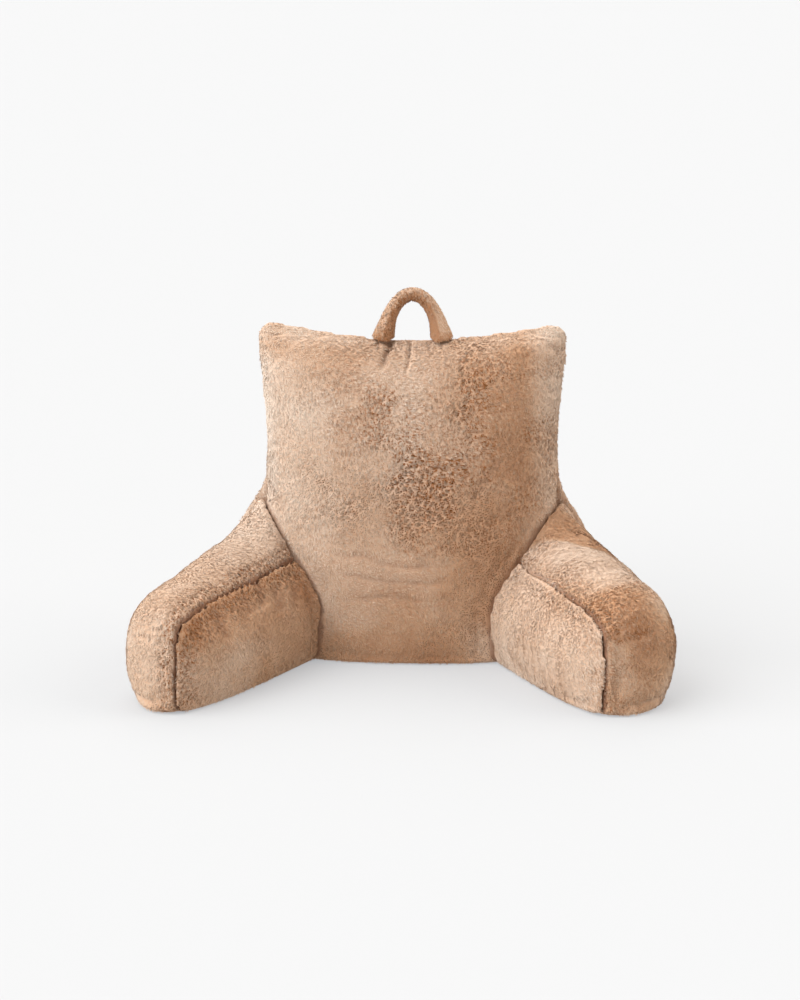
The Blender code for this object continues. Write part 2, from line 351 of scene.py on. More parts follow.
def start_cover(name):
    """The CAD solid of a panel as an even mesh of small faces, drawn in away from its seams."""
    mesh = NODES[name].data.copy()
    piece = add(bpy.data.objects.new(name + "_cover", mesh))
    bm = bmesh.new()
    bm.from_mesh(mesh)
    bmesh.ops.remove_doubles(bm, verts=bm.verts, dist=WELD)
    bm.to_mesh(mesh)
    bm.free()
    remesh = piece.modifiers.new("remesh", "REMESH")
    remesh.mode = "VOXEL"
    remesh.voxel_size = LOOP_VOXEL if name == "handle" else PAD_VOXEL
    mesh = applied(piece)
    co = places(mesh)
    out = normals(mesh)
    gaps = {other: distance_to(other, co) for other in NEIGHBOURS[name]}
    seam = np.min(list(gaps.values()), axis=0)
    free = ease((seam - IN_SEAM) / (FREE_FROM - IN_SEAM)) * off_floor(co)
    kinds = np.array([GROOVES[seam_kind(name, other)][LEFT_BESIDE] for other in gaps])
    near = np.exp(-np.array(list(gaps.values())) / SEAM_BLEND)
    least = kinds @ near / np.sum(near, axis=0)
    drawn = INSET * (least + (1 - least) * free) * off_floor(co)
    if name == "handle":
        drawn = np.full(len(co), LOOP_INSET)
    move = -out * drawn[:, None]
    for other, gap in gaps.items():
        if seam_kind(name, other) in SEAM_PLANES:
            way = np.array(SEAM_PLANES[seam_kind(name, other)])
            way[0] *= -1 if "left" in name else 1
            hold = (1 - ease((gap - HELD_FLAT[0]) / HELD_FLAT[1])) * (move @ way)
            move -= hold[:, None] * way
    depth = np.zeros(len(co))
    rim = np.nonzero(seam > IN_SEAM)[0]
    tree = KDTree(len(rim))
    for i in rim:
        tree.insert(co[i], i)
    tree.balance()
    for i in np.nonzero(seam <= IN_SEAM)[0]:
        _, beside, depth[i] = tree.find(co[i])
        move[i] = move[beside] * (1 - ease(depth[i] / ROLL)) - out[i] * SEAM_SHRINK
    weight = np.max(
        [
            GROOVES[seam_kind(name, other)][ROUNDED] * (1 - ease(gap / LIP_REACH))
            for other, gap in gaps.items()
        ],
        axis=0,
    )
    weight *= ease(co[:, 2] / 0.010) * (1 - ease(depth / ROLL))
    set_places(mesh, eased(mesh, co + move, weight * 0.6, LIP_ROUNDS))
    held = piece.vertex_groups.new(name="held")
    for share in range(PIN_STEPS + 1):
        chosen = np.nonzero(np.round(free * PIN_STEPS).astype(int) == share)[0]
        held.add(chosen.tolist(), 1 - share / PIN_STEPS, "REPLACE")
    set_field(mesh, "free", free)
    set_field(mesh, "depth", depth)
    return piece


def swell(pieces):
    """Fills the covers by cloth pressure, with the seams held and no point moved further than CAP."""
    before = {}
    for piece in pieces:
        before[piece.name] = places(piece.data)
        cloth = piece.modifiers.new("cloth", "CLOTH")
        how = cloth.settings
        how.quality = 4
        how.mass = THREAD_MASS
        how.tension_stiffness = THREAD_STIFFNESS
        how.compression_stiffness = THREAD_STIFFNESS
        how.shear_stiffness = THREAD_STIFFNESS
        how.bending_stiffness = BEND_STIFFNESS
        how.use_pressure = True
        how.uniform_pressure_force = PRESSURE
        how.vertex_group_mass = "held"
        how.pin_stiffness = 1.0
        how.effector_weights.gravity = 0.0
        cloth.collision_settings.use_collision = False
        cloth.point_cache.frame_start = 1
        cloth.point_cache.frame_end = SIM_FRAMES
    for moment in range(1, SIM_FRAMES + 1):
        bpy.context.scene.frame_set(moment)
    for piece in pieces:
        mesh = applied(piece)
        move = places(mesh) - before[piece.name]
        far = np.linalg.norm(move, axis=1, keepdims=True)
        move *= CAP * np.tanh(CAP_SOFTNESS * far / CAP) / np.maximum(far, 1e-9)
        set_places(mesh, before[piece.name] + move)
    bpy.context.scene.frame_set(1)


def subdivided(piece):
    piece.modifiers.new("fine", "SUBSURF").levels = 1
    return applied(piece)


def across(name, co):
    """Where points lie on a panel: 0 to 1 from its left to its right, and from its foot to its top."""
    low, high = (np.array(corner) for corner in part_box(name))
    share = (co - low) / (high - low)
    return share[:, 0], share[:, 2]


def fold(u, v, start, end, width, size):
    """A soft trough from one place on a panel to another, fading at its ends."""
    (u0, v0), (u1, v1) = start, end
    sides = np.array((u1 - u0, v1 - v0)) * size
    length = np.linalg.norm(sides)
    way = sides / length
    du, dv = (u - u0) * size[0], (v - v0) * size[1]
    along = (du * way[0] + dv * way[1]) / length
    off = np.abs(dv * way[0] - du * way[1])
    return np.exp(-((off / width) ** 2)) * ease(along / 0.2 + 0.5) * ease((1 - along) / 0.2 + 0.5)


def arm_place(name, co):
    """How far points lie along an arm from the seat's back edge, and how high they are."""
    side = -1 if "left" in name else 1
    return co[:, 0] * side * math.sin(SPLAY) - co[:, 1] * math.cos(SPLAY), co[:, 2]


# painted shade down in the folds
FOLD_SHADE = 130  # how dark a fold is for each metre of its depth
FOLD_DARKEST = 0.6
# soft folds below the seam of the left arm: from one place on its inner panel to another, width and depth
PUCKERS = (
    ((0.24, 0.86), (0.37, 0.58), 0.0045, 0.0026),
    ((0.42, 0.89), (0.52, 0.70), 0.0045, 0.0026),
    ((0.50, 0.92), (0.60, 0.72), 0.0050, 0.0032),
    ((0.65, 0.84), (0.72, 0.62), 0.0050, 0.0030),
    ((0.78, 0.84), (0.82, 0.60), 0.0045, 0.0020),
)
# the same on the front: creases under the handle, wrinkles low down, and one fold at the right
CREASES = (
    ((0.455, 1.02), (0.41, 0.88), 0.0050, 0.0052),
    ((0.50, 1.02), (0.485, 0.87), 0.0032, 0.0032),
    ((0.545, 1.02), (0.56, 0.93), 0.0045, 0.0018),
    ((0.27, 0.34), (0.58, 0.30), 0.0050, 0.0018),
    ((0.30, 0.28), (0.62, 0.25), 0.0050, 0.0016),
    ((0.33, 0.21), (0.55, 0.20), 0.0060, 0.0014),
    ((0.78, 0.62), (0.70, 0.50), 0.0070, 0.0016),
)


def folds(name, co):
    """The folds of a panel, each as its depth and how far each point lies in it."""
    u, v = across(name, co)
    low, high = (np.array(corner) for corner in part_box(name))
    size = (high - low)[[0, 2]]
    table, wave = (), 0.0
    if name == "back_front":
        table, wave = CREASES, 0.010 * noise(co, 0.03, 61)
        v = v + wave
    elif name == "arm_left_inner":
        table, wave = PUCKERS, 0.008 * noise(co, 0.025, 62)
    return [(depth, fold(u + wave, v, start, end, width, size)) for start, end, width, depth in table]


def painted_fold_shade(name, co):
    """Painted shade: how dark the pile is made down in the folds."""
    marks = [np.zeros(len(co))]
    marks += [within**2 * min(FOLD_DARKEST, depth * FOLD_SHADE) for depth, within in folds(name, co)]
    return np.max(marks, axis=0)


# where the nap turns over on the right shoulder: a place on that line, and the way backwards across it
TURN_PLACE = (0.171, 0.056)
TURN_WAY = (0.418, 0.909)


def behind_step(co):
    """How far points lie behind the wavy line on the right shoulder where the nap turns over."""
    straight = sum(TURN_WAY[k] * (co[:, k] - TURN_PLACE[k]) for k in range(2))
    return straight + 0.004 * noise(co, 0.03, 64)


def tuft_patch(co):
    """The part of the right arm's nose where the pile stands up in tufts, from 0 to 1."""
    along, high_up = arm_place("arm_right_outer", co)
    ragged = 0.006 * noise(co, 0.018, 66)
    patch = step(along, 0.205, 0.240) * step(high_up + ragged, 0.100, 0.110)
    return patch * step(co[:, 0], 0.345, 0.305)


def roughness_of(name, co, gaps):
    """How lumpy the pile lies, from 0 where it is smooth to 1."""
    u, v = across(name, co)
    broken = ease(0.5 + 1.4 * noise(co, 0.045, 31) + 0.7 * noise(co, 0.018, 32))
    if name == "back_front":
        middle = hump(u, 0.62, 0.30) * hump(v, 0.68, 0.28)
        smooth_top = 1 - 0.7 * step(v, 0.93, 0.98)
        return np.clip(0.14 + middle, 0, 1) * (0.4 + 0.6 * broken) * smooth_top
    if name in ARMS:
        lip = (0.25 if "right" in name else 0.6) * hump(gaps[twin(name)], 0.008, 0.012)
        tufts = 0.15 * broken + 0.42 * tuft_patch(co) if name == "arm_right_outer" else 0.0
        return np.clip(0.15 * broken + lip + tufts, 0, 1)
    return (0.22 if name == "back_rear" else 0.5) * broken


def seam_strength(name, co):
    """The seam over the right arm is faint near the back."""
    if "right" not in name:
        return 1.0
    return 0.4 + 0.6 * step(arm_place(name, co)[0], 0.12, 0.20)


# height, size and seed of the waves in every cover
WAVES = ((0.0010, 0.042, 41), (0.0006, 0.02, 42))
LUMP_SIZE = 0.0085
LUMP_RISE = (0.0002, 0.0026)  # where the pile is smooth, and how much more where it is rough
STROKE_RISE = 0.0004
STROKE_SIZE = (0.0055, 0.014)
TOP_RISE = 0.0045  # the fill of an arm's top near the back
# depth and spacing of the ribs on the right arm's inner panel, and of the arcs before the line on its shoulder
RIBS = (0.0012, 0.024)
ARCS = (0.0010, 0.013)
TURN_DIP = 0.0016  # just behind that line
TUFT_RISE = 0.0014
TUFT_SIZE = 0.014
LOOP_RELIEF = 0.45  # the share of all this on the handle
LOWEST = 0.0002  # nothing of a cover comes nearer to the floor


def ribs(line, depth, spacing):
    """How deep points lie between soft ribs that run side by side."""
    return depth * (0.5 + 0.5 * np.cos(line * 2 * math.pi / spacing))


def relief(name, co, gaps):
    """How far each point of a cover stands out from its even form."""
    rough = roughness_of(name, co, gaps)
    seam = np.min(list(gaps.values()), axis=0)
    rise = sum(height * noise(co, size, seed) for height, size, seed in WAVES)
    rise += (LUMP_RISE[0] + LUMP_RISE[1] * rough) * (lumps(co, LUMP_SIZE, 43) - 0.5)
    rise += STROKE_RISE * strokes(co, *STROKE_SIZE, 50)
    for depth, within in folds(name, co):
        rise -= depth * within
    if name in ARMS:
        along, high_up = arm_place(name, co)
        if "outer" in name:
            top = step(along, 0.19, 0.13) * step(along, -0.02, 0.03) * step(high_up, 0.10, 0.15)
            rise += TOP_RISE * top * step(seam, 0.0, 0.02)
        if name == "arm_right_inner":
            line = along + 0.10 * high_up + 0.006 * noise(co, 0.05, 63)
            rise -= ribs(line, *RIBS) * step(gaps[twin(name)], 0.01, 0.03)
        elif name == "arm_right_outer":
            behind = behind_step(co)
            rise -= ribs(behind, *ARCS) * hump(behind, -0.014, 0.018)
            rise -= TURN_DIP * step(behind, 0.0, 0.004) * step(behind, 0.034, 0.004)
            rise += TUFT_RISE * tuft_patch(co) * (lumps(co, TUFT_SIZE, 65) - 0.3)
    for other, gap in gaps.items():
        kind = seam_kind(name, other)
        depth = GROOVES[kind][DEPTH] * (seam_strength(name, co) if kind == "arm" else 1.0)
        ragged = 1 + 0.35 * noise(co, 0.009, 71) + 0.2 * noise(co, 0.004, 72)
        rise -= depth * step(gap, GROOVES[kind][REACH] * ragged, 0.0) * step(gap, 0.0004, 0.0019)
    rise *= step(get_field(covers[name].data, "depth"), LIP, 0.0)
    if name == "handle":
        rise *= LOOP_RELIEF
    return rise * off_floor(co)


UNDERSIDE = 0.0004
THINNED = 0.93  # of the faces that nobody sees


def slimmed(piece):
    """Thins out the small faces deep in the seams and underneath, where nothing is seen."""
    mesh = piece.data
    co, depth = places(mesh), get_field(mesh, "depth")
    unseen = (depth > ROLL) | ((co[:, 2] < UNDERSIDE) & (normals(mesh)[:, 2] < -0.999))
    piece.vertex_groups.clear()
    piece.vertex_groups.new(name="unseen").add(np.nonzero(unseen)[0].tolist(), 1.0, "REPLACE")
    corners = np.empty(len(mesh.loops), np.int32)
    mesh.loops.foreach_get("vertex_index", corners)
    share = unseen[corners].mean()
    thin = piece.modifiers.new("thin", "DECIMATE")
    thin.ratio = 1 - share * THINNED
    thin.vertex_group = "unseen"
    thin.vertex_group_factor = 1.0
    return applied(piece)


covers = {name: start_cover(name) for name in NODES}
swell([piece for name, piece in covers.items() if name != "handle"])

gaps_of = {}
for name, piece in covers.items():
    mesh = subdivided(piece)
    co, out = places(mesh), normals(mesh)
    gaps = gaps_of[name] = {other: distance_to(other, co) for other in NEIGHBOURS[name]}
    rise = relief(name, co, gaps)
    co = co + out * rise[:, None]
    co[:, 2] = np.maximum(co[:, 2], LOWEST)
    set_places(mesh, co)

# ---------------------------------------------------------------- pile

DENSITY = 225000  # leaves to a square metre
REAR_DENSITY = 150000
PILE_LENGTH = 0.0050
LOOP_LENGTH = 0.0042
LENGTH_CHANCE = 0.22
PILE_WIDTH = 0.0016
WIDTH_RANGE = (0.75, 1.25)
LEAN = 1.42  # from upright, in radians
LEAN_RANGE = (0.6, 1.47)
LEAN_ROUGH = -0.22  # where the pile is rough
LEAN_WAVES = 0.04
LEAN_CHANCE = 0.035
# how far the nap turns: size and seed of each wave, its turn where smooth, and how much more where rough
TURNS = ((0.035, 6, 0.35, 1.5), (0.014, 7, 0.12, 0.6))
SIDE_CHANCE = 0.13
OVER_SEAM = 1.6  # how strongly the pile beside an arm's seam leans over it
OVER_REACH = 0.007
CLUMP = 0.0074  # from the middle of one clump to the next
CLUMP_RISE = 0.0008  # how far the middle of a clump stands out
# the share of the way to its clump's middle that a tip goes, where smooth, and how much more where rough
GATHER = (0.10, 0.60)
GATHER_REACH = 0.004  # but never further than this
# painted shade on the line between two clumps, where the leaves are also shorter
CRACK_WIDTH = 0.0024  # of the dark line between two clumps
ROOT_DEPTH = 0.0012  # how far leaves go down into the cover
BELT = 0.42  # how far up a leaf is at its widest
LEAF_LOWEST = 0.0004
TIP_LOWEST = 0.0012
GROWN_FROM = 0.0022  # no pile grows nearer to the floor than this
# a leaf's four points are its root, its left, its right and its tip; two faces look out and two in
LEAF = ((0, 3, 1), (0, 2, 3), (0, 1, 2), (3, 2, 1))
HEIGHTS = (0.0, 0.45, 0.45, 1.0)  # as the material reads them


def nap(name, co, out, rough):
    """The lie of the pile over the surface, as unit tangents."""
    lie = np.tile((0.0, -0.25, -1.0), (len(co), 1))
    if name in ARMS:
        side = -1 if "left" in name else 1
        lie = np.tile((side * math.sin(SPLAY), -math.cos(SPLAY), -0.9), (len(co), 1))
    lie = unit(lie - out * np.sum(lie * out, axis=1)[:, None])
    other = np.cross(out, lie)
    turn = (1.1 if name.startswith("back") else 0.7) * noise(co, 0.11, 5)
    for size, seed, smooth, more in TURNS:
        turn += (smooth + more * rough) * noise(co, size, seed)
    return lie * np.cos(turn)[:, None] + other * np.sin(turn)[:, None]


def scatter(mesh, count, keep, rng):
    """Points spread evenly over the faces whose points are all kept: their corners and shares, and the area."""
    mesh.calc_loop_triangles()
    corners = np.empty(len(mesh.loop_triangles) * 3, np.int32)
    mesh.loop_triangles.foreach_get("vertices", corners)
    corners = corners.reshape(-1, 3)
    corners = corners[keep[corners].all(axis=1)]
    a, b, c = (places(mesh)[corners[:, k]] for k in range(3))
    ends = np.cumsum(np.linalg.norm(np.cross(b - a, c - a), axis=1) / 2)
    picks = np.searchsorted(ends, (np.arange(count) + rng.random(count)) / count * ends[-1])
    u, v = rng.random(count), rng.random(count)
    over = u + v > 1
    u[over], v[over] = 1 - u[over], 1 - v[over]
    return corners[np.minimum(picks, len(corners) - 1)], np.stack((1 - u - v, u, v), axis=1), ends[-1]


def spread(values, corners, shares):
    """Values held by a mesh's points, read at places on its faces."""
    return np.einsum("ij,ij...->i...", shares, values[corners])


def leaf_mesh(name, points, outs, side, way):
    """One mesh of closed leaves, each shaded softly like the cover under it."""
    count = len(points)
    soft = np.stack((outs, outs - side * 0.5, outs + side * 0.5, outs + way * 0.15), axis=1)
    soft = unit(soft.reshape(-1, 3)).reshape(count, 4, 3)[:, LEAF[:2]].reshape(count, 6, 3)
    under = []
    for a, b, c in LEAF[2:]:
        face = unit(np.cross(points[:, b] - points[:, a], points[:, c] - points[:, a]))
        face = unit(face - 0.8 * np.sum(face * outs, axis=1)[:, None] * outs)
        under += [face] * 3
    shading = np.concatenate((soft, np.stack(under, axis=1)), axis=1)
    faces = (np.array(LEAF)[None] + 4 * np.arange(count)[:, None, None]).reshape(-1, 3)
    mesh = bpy.data.meshes.new(name + "_pile")
    mesh.vertices.add(count * 4)
    mesh.vertices.foreach_set("co", points.astype(np.float32).ravel())
    mesh.loops.add(len(faces) * 3)
    mesh.loops.foreach_set("vertex_index", faces.astype(np.int32).ravel())
    mesh.polygons.add(len(faces))
    mesh.polygons.foreach_set("loop_start", np.arange(0, len(faces) * 3, 3, dtype=np.int32))
    mesh.update(calc_edges=True)
    mesh.shade_smooth()
    mesh.normals_split_custom_set(shading.reshape(-1, 3).tolist())
    return mesh, faces


def lay_out(mesh, faces, count):
    """Gives each leaf a square cell of its own in the texture."""
    side_cells = math.ceil(math.sqrt(count))
    cell = np.stack((np.arange(count) % side_cells, np.arange(count) // side_cells), axis=1)
    inside = np.array(((0.5, 0.1), (0.1, 0.5), (0.9, 0.5), (0.5, 0.9)))
    spots = ((cell[:, None] + inside[None]) / side_cells).reshape(-1, 2)
    uv = mesh.uv_layers.new(name="OFBake")
    uv.data.foreach_set("uv", spots[faces.ravel()].astype(np.float32).ravel())


def pile_on(name, per_m2, length, seed):
    """Grows the pile of a panel: leaves that lie with the nap, gather in clumps and close over the seams."""
    cover = covers[name].data
    co, out = places(cover), normals(cover)
    gaps = gaps_of[name]
    seam = np.min(list(gaps.values()), axis=0)
    keep = (get_field(cover, "depth") < LIP) & (co[:, 2] > GROWN_FROM)
    rng = np.random.default_rng(seed)
    area = scatter(cover, 8, keep, rng)[2]
    count = int(per_m2 * area)
    corners_of, shares_of, _ = scatter(cover, count, keep, rng)
    roots, outs = spread(co, corners_of, shares_of), unit(spread(out, corners_of, shares_of))
    near = spread(seam, corners_of, shares_of)
    dark = spread(darkness_of(name, co, gaps), corners_of, shares_of)
    rough = spread(roughness_of(name, co, gaps), corners_of, shares_of)
    corners, shares, _ = scatter(cover, int(area / CLUMP**2), keep, rng)
    middles, middle_outs = spread(co, corners, shares), unit(spread(out, corners, shares))
    tree = KDTree(len(middles))
    for i, middle in enumerate(middles.tolist()):
        tree.insert(middle, i)
    tree.balance()
    found = [tree.find_n(root, 2) for root in roots.tolist()]
    nearest = np.array([pair[0][1] for pair in found])
    apart = np.array([pair[1][2] - pair[0][2] for pair in found])
    crack = step(apart, CRACK_WIDTH, 0.0) * np.minimum(1, 0.02 + 1.25 * rough)
    lie = nap(name, roots, outs, rough)
    tilt = LEAN + LEAN_ROUGH * rough + LEAN_WAVES * noise(roots, 0.012, seed + 3)
    tilt += LEAN_CHANCE * rng.standard_normal(count)
    tilt = np.clip(tilt, *LEAN_RANGE)[:, None]
    side = unit(np.cross(outs, lie))
    lie = unit(lie + SIDE_CHANCE * rng.standard_normal(count)[:, None] * side)
    if name in ARMS:
        over = np.array(SEAM_PLANES["arm"]) * (1 if "inner" in name else -1)
        over[0] *= -1 if "left" in name else 1
        lip = step(spread(gaps[twin(name)], corners_of, shares_of), OVER_REACH, 0.0)
        lip *= ease(0.5 + 2.0 * noise(roots, 0.008, seed + 4))
        lie = unit(lie + (OVER_SEAM * lip)[:, None] * over)
    way = outs * np.cos(tilt) + lie * np.sin(tilt)
    way[:, 2] = np.maximum(way[:, 2], (TIP_LOWEST - roots[:, 2]) / length)
    way = unit(way)
    long = length * (1 + LENGTH_CHANCE * rng.standard_normal(count).clip(-2, 2))
    long *= (0.6 + 0.4 * step(near, 0.0, 0.005)) * (1 - 0.35 * crack)
    tips = roots + way * long[:, None]
    gather = (GATHER[0] + GATHER[1] * rough)[:, None]
    goal = middles[nearest] + way * long[:, None] * 0.8 + middle_outs[nearest] * CLUMP_RISE
    pull = np.minimum(1.0, GATHER_REACH / np.linalg.norm(goal - tips, axis=1))[:, None]
    tips += (goal - tips) * gather * pull
    way = unit(tips - roots)
    side = unit(np.cross(way, outs))
    up = np.cross(side, way)
    narrow, wide = WIDTH_RANGE
    half = (PILE_WIDTH * (narrow + (wide - narrow) * rng.random(count)))[:, None] / 2
    belt = roots + (tips - roots) * BELT - up * half * 0.45
    points = np.stack((roots - outs * ROOT_DEPTH, belt - side * half, belt + side * half, tips), axis=1)
    points[:, :, 2] = np.maximum(points[:, :, 2], LEAF_LOWEST)
    mesh, faces = leaf_mesh(name, points, outs, side, way)
    set_field(mesh, "height", np.tile(np.array(HEIGHTS), count))
    tint = rng.random(count)
    # painted light and shade with some nap tone, and painted shade in the seams, folds and between clumps, go
    # to the material as fields
    fields = {"tint": tint, "painted_light_and_nap": painted_light_and_nap_of(name, roots), "seam": dark, "rough": rough, "crack": crack}
    for field, values in fields.items():
        set_field(mesh, field, np.repeat(values, 4))
    lay_out(mesh, faces, count)
    return add(bpy.data.objects.new(name + "_pile", mesh))


def darkness_of(name, co, gaps):
    """Painted shade: how dark the pile is made down in the seams and creases."""
    shades = [painted_fold_shade(name, co)]
    for other, gap in gaps.items():
        kind = seam_kind(name, other)
        shade = GROOVES[kind][SHADE] * step(gap, 0.0022, 0.0006)
        shades.append(shade * seam_strength(name, co) if kind == "arm" else shade)
    return np.max(shades, axis=0)


# Painted light and shade on each panel: paler where light falls and on lit rims and tops, darker in shade
# and in cast shadow. Every row is how much, and the soft steps and humps that bound it: along what, of which
# shape, and that shape's two values. A row of one number is all over, and where no shape is given the measure
# itself says how much.
LIGHT_AND_SHADE_PATCHES = {
    "back_front": (
        # painted light on the front's rims, middle and lower right; painted shade at its upper left, left ear
        # and lower left
        (0.46, ("u", step, 0.84, 0.96)),
        (0.15, ("u", step, 0.10, 0.0)),
        (0.22, ("v", step, 0.92, 0.98)),
        (-0.20, ("u", step, 0.50, 0.30), ("v", step, 0.75, 0.95)),
        (-0.40, ("u", step, 0.14, 0.04), ("v", step, 0.88, 0.94)),
        (0.40, ("u", hump, 0.78, 0.12), ("v", hump, 0.05, 0.08)),
        (0.14, ("u", hump, 0.50, 0.13), ("v", hump, 0.72, 0.2)),
        (-0.30, ("v", step, 0.16, 0.0), ("u", step, 0.72, 0.62)),
    ),
    # painted light on the back, paler to the left where the key light falls
    "back_rear": ((0.10,), (0.26, ("u", step, 0.22, 0.06))),
    # painted shade over the inner left arm, which faces away from the key light; paler low towards its nose;
    # two darker spots
    "arm_left_inner": (
        (-0.20,),
        (0.25, ("along", step, 0.15, 0.22), ("z", step, 0.10, 0.05)),
        (-0.35, ("x", hump, -0.262, 0.020), ("y", hump, -0.194, 0.020), ("z", hump, 0.106, 0.020)),
        (-0.35, ("x", hump, -0.138, 0.024), ("y", hump, 0.022, 0.024), ("z", hump, 0.105, 0.024)),
    ),
    # painted light on the outer left arm's top
    "arm_left_outer": ((0.06,), (0.20, ("z", step, 0.13, 0.18))),
    # painted light on the inner right arm, which faces the key light
    "arm_right_inner": ((0.14,),),
    # outer right arm: painted light on its top and in an arc; behind the nap's turn, nap and painted shadow of
    # the back; painted shade low and among the tufts
    "arm_right_outer": (
        (-0.06,),
        (0.18, ("z", step, 0.13, 0.18)),
        (0.13, ("behind", step, 0.010, -0.004), ("behind", step, -0.14, -0.09)),
        (-0.30, ("z", hump, 0.095, 0.04), ("x", step, 0.285, 0.315)),
        (-0.34, ("behind", step, -0.004, 0.010), ("behind", step, 0.10, 0.05), ("z", step, 0.07, 0.14)),
        (-0.18, ("tufts", None, None, None)),
    ),
    # the handle: painted shade inside the loop, and darker in a band low on it
    "handle": ((-0.02,), (-0.70, ("ring", step, 1.09, 0.93)), (-0.4, ("z", hump, 0.428, 0.009))),
}
# what a patch is measured along
MEASURES = {
    "x": lambda name, co: co[:, 0],
    "y": lambda name, co: co[:, 1],
    "z": lambda name, co: co[:, 2],
    "u": lambda name, co: across(name, co)[0],
    "v": lambda name, co: across(name, co)[1],
    "along": lambda name, co: arm_place(name, co)[0],
    "behind": lambda name, co: behind_step(co),
    "tufts": lambda name, co: tuft_patch(co),
    # 1 along the middle line of the loop, less inside it
    "ring": lambda name, co: np.sqrt((co[:, 0] / 0.0387) ** 2 + ((co[:, 2] - 0.412) / 0.078) ** 2),
}


def painted_light_and_nap_of(name, co):
    """Painted light and shade, with a little random nap tone: how pale the pile is made, from 0 to 1, in soft
    patches.
    """
    # a little nap tone that differs at random
    painted_light_and_nap = 0.5 + 0.08 * noise(co, 0.07, 81) + 0.05 * noise(co, 0.03, 82)
    if name == "back_front":
        u, v = across(name, co)
        # painted light: the front paler to the left and towards its top, where the key light falls, darker to
        # the right and low down
        painted_light_and_nap += 0.62 * (0.48 - u) + 0.20 * (v - 0.5)
    for much, *bounds in LIGHT_AND_SHADE_PATCHES[name]:
        patch = np.full(len(co), much)
        for measure, shape, first, second in bounds:
            values = MEASURES[measure](name, co)
            patch *= shape(values, first, second) if shape else values
        painted_light_and_nap += patch
    return np.clip(painted_light_and_nap, 0, 1)


piles = {
    name: pile_on(
        name,
        per_m2=REAR_DENSITY if name == "back_rear" else DENSITY,
        length=LOOP_LENGTH if name == "handle" else PILE_LENGTH,
        seed=11 + 7 * i,
    )
    for i, name in enumerate(sorted(NODES))
}
for name, piece in covers.items():
    mesh, co = piece.data, places(piece.data)
    # on the covers as on the pile: painted light and shade with some nap tone, painted shade in the seams and
    # folds, and roughness
    set_field(mesh, "painted_light_and_nap", painted_light_and_nap_of(name, co))
    set_field(mesh, "seam", darkness_of(name, co, gaps_of[name]))
    set_field(mesh, "rough", roughness_of(name, co, gaps_of[name]))
    slimmed(piece)

# ---------------------------------------------------------------- material

# the tones, from the deep brown of painted shade to the pale beige of painted light, picked by the painted
# light field, its nap tone and random patches and flecks
TONES = (
    (0.0, (0.43, 0.245, 0.145)),
    (0.3, (0.56, 0.365, 0.24)),
    (0.6, (0.70, 0.54, 0.42)),
    (1.0, (0.81, 0.72, 0.62)),
)
# the deep brown of the painted shade in pits, low in the pile, between clumps and on the cover
PAINTED_SHADE_COLOUR = (0.31, 0.13, 0.05)
TIP_COLOUR = (0.83, 0.71, 0.59)
# the painted shade down in the seams and folds
SEAM_AND_FOLD_SHADE_COLOUR = (0.25, 0.13, 0.08)
# how fine each texture is, in features to a metre
FIBRES = 400.0
FIBRE_PATCHES = 26.0
TONE_PATCHES = 22.0
FLECKS = 110.0
BULGES = 150.0
# how high they stand in the bump; bulges are measured inwards, and go deeper where the pile is rough
FIBRE_BUMP = 0.00026
BULGE_BUMP = -0.0003
ROUGH_BUMP = -0.0034
SHORT_GLOW = 0.00035  # how far light goes on under the surface
# what makes the tone: soft patches, flecks, and a shift of it all
PATCH_TONE = 0.22
FLECK_TONE = 0.08
TONE_SHIFT = -0.18
# how much painted shade, in a deep brown, shows: in the pits between fibres, low down in the pile, between
# clumps and on the cover under the pile
PIT_SHADE = 0.46
LOW_SHADE = 0.28
CRACK_SHADE = 1.0
GROUND_SHADE = 0.3
TIP_LIGHT = 0.24  # and how much of the tips' colour at most


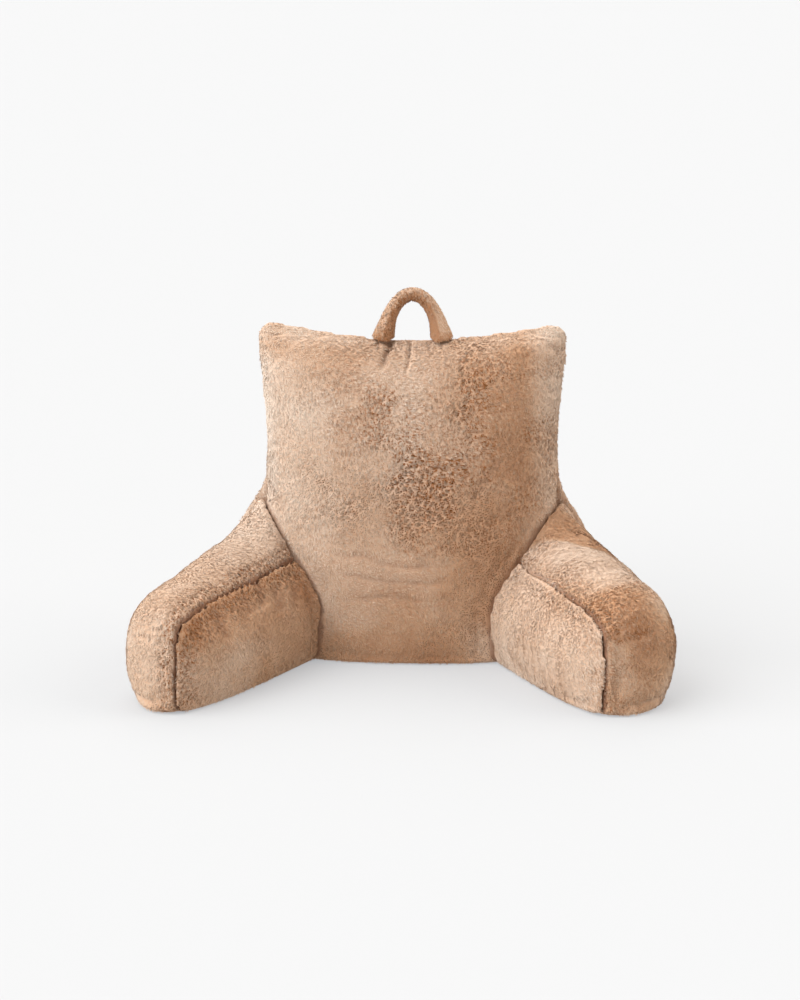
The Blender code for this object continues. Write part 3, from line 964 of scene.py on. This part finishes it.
def plush(name, pile):
    """The material of the pile, or of the cover under it."""
    material = bpy.data.materials.new(name)
    material.use_nodes = True
    tree = material.node_tree
    shader = tree.nodes["Principled BSDF"]
    shader.inputs["Roughness"].default_value = 0.9
    shader.inputs["Specular IOR Level"].default_value = 0.0
    shader.inputs["Subsurface Weight"].default_value = 0.6
    shader.inputs["Subsurface Radius"].default_value = (1.0, 1.0, 1.0)
    shader.inputs["Subsurface Scale"].default_value = SHORT_GLOW

    def node(kind, **values):
        made = tree.nodes.new(kind)
        for key, value in values.items():
            setattr(made, key, value)
        return made

    def join(out, into):
        if isinstance(out, (int, float)):
            into.default_value = out
        elif isinstance(out, tuple):
            into.default_value = out + (1,)
        else:
            tree.links.new(out, into)

    def maths(operation, *terms):
        made = node("ShaderNodeMath", operation=operation)
        for slot, term in zip(made.inputs, terms):
            join(term, slot)
        return made.outputs["Value"]

    def speckle(scale, detail, turn=(0.0, 0.0, 0.0), stretch=(1.0, 1.0, 1.0)):
        place = node("ShaderNodeMapping")
        place.inputs["Rotation"].default_value = turn
        place.inputs["Scale"].default_value = stretch
        tree.links.new(coordinates, place.inputs["Vector"])
        made = node("ShaderNodeTexNoise")
        made.inputs["Scale"].default_value = scale
        made.inputs["Detail"].default_value = detail
        tree.links.new(place.outputs["Vector"], made.inputs["Vector"])
        return made.outputs["Fac"]

    def field(name):
        return node("ShaderNodeAttribute", attribute_name=name).outputs["Fac"]

    def blend(factor, a, b):
        made = node("ShaderNodeMix", data_type="FLOAT")
        for term, slot in ((factor, 0), (a, 2), (b, 3)):
            join(term, made.inputs[slot])
        return made.outputs[0]

    def mixed(factor, a, b):
        made = node("ShaderNodeMix", data_type="RGBA", clamp_factor=True)
        for term, slot in ((factor, 0), (a, 6), (b, 7)):
            join(term, made.inputs[slot])
        return made.outputs[2]

    def ranged(value, low, high, to_low, to_high):
        made = node("ShaderNodeMapRange", interpolation_type="SMOOTHSTEP")
        ends = {"From Min": low, "From Max": high, "To Min": to_low, "To Max": to_high}
        for slot, number in ends.items():
            made.inputs[slot].default_value = number
        join(value, made.inputs["Value"])
        return made.outputs["Result"]

    coordinates = node("ShaderNodeTexCoord").outputs["Object"]
    level = speckle(FIBRES, 2.0, (0.0, 0.4, 0.0), (1.0, 1.0, 0.45))
    slant = speckle(FIBRES, 2.0, (0.0, -0.9, 0.3), (0.45, 1.0, 1.0))
    fibres = blend(ranged(speckle(FIBRE_PATCHES, 1.0), 0.42, 0.58, 0.0, 1.0), level, slant)
    # painted shade in the pits between fibres, more where the pile is rough
    pits = ranged(fibres, 0.34, 0.54, PIT_SHADE, 0.0)
    pits = maths("MULTIPLY", pits, maths("MULTIPLY_ADD", field("rough"), 1.4, 0.2))
    patch = speckle(TONE_PATCHES, 3.0)
    fleck = speckle(FLECKS, 3.0)
    # the tone: painted light and shade with some nap tone, shifted, with random patches and flecks
    tone = maths("MULTIPLY_ADD", patch, PATCH_TONE, maths("ADD", field("painted_light_and_nap"), TONE_SHIFT))
    tone = maths("MULTIPLY_ADD", fleck, FLECK_TONE, tone)
    ramp = node("ShaderNodeValToRGB")
    for place, _ in TONES[1:-1]:
        ramp.color_ramp.elements.new(place)
    for stop, (place, tone_colour) in zip(ramp.color_ramp.elements, TONES):
        stop.position, stop.color = place, tone_colour + (1,)
    tree.links.new(tone, ramp.inputs["Fac"])
    if pile:
        # painted shade low down in the pile and between clumps, on top of the pits; tips paler at random
        depths = ranged(field("height"), 0.0, 0.8, LOW_SHADE, 0.0)
        roots = maths("MULTIPLY_ADD", depths, maths("MULTIPLY_ADD", field("rough"), 1.2, 0.32), pits)
        roots = maths("MULTIPLY_ADD", field("crack"), CRACK_SHADE, roots)
        tips = ranged(field("height"), 0.3, 1.0, 0.0, 1.0)
        tips = maths("MULTIPLY", tips, ranged(field("tint"), 0.2, 1.0, 0.0, TIP_LIGHT))
    else:
        # painted shade on the cover under the pile, on top of the pits
        roots = maths("ADD", pits, GROUND_SHADE)
        tips = 0.0
    colour = mixed(roots, mixed(tips, ramp.outputs["Color"], TIP_COLOUR), PAINTED_SHADE_COLOUR)
    # painted shade down in the seams and folds
    join(mixed(field("seam"), colour, SEAM_AND_FOLD_SHADE_COLOUR), shader.inputs["Base Color"])

    bulges = node("ShaderNodeTexVoronoi", feature="SMOOTH_F1")
    bulges.inputs["Scale"].default_value = BULGES
    bulges.inputs["Smoothness"].default_value = 0.6
    tree.links.new(coordinates, bulges.inputs["Vector"])
    inwards = maths("MULTIPLY_ADD", field("rough"), ROUGH_BUMP, BULGE_BUMP)
    clumps = maths("MULTIPLY", inwards, bulges.outputs["Distance"])
    bump = node("ShaderNodeBump")
    bump.inputs["Strength"].default_value = 1.0
    bump.inputs["Distance"].default_value = 1.0
    tree.links.new(maths("MULTIPLY_ADD", fibres, FIBRE_BUMP, clumps), bump.inputs["Height"])
    tree.links.new(bump.outputs["Normal"], shader.inputs["Normal"])
    return material


GROUND = plush("plush_ground", False)
PILE = plush("plush_pile", True)
for name in NODES:
    cover, pile = covers[name], piles[name]
    cover.data.materials.clear()
    cover.data.materials.append(GROUND)
    pile.data.materials.append(PILE)
    for piece in (cover, pile):
        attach(piece, "root")
    cover.data.shade_smooth()
    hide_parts(name)
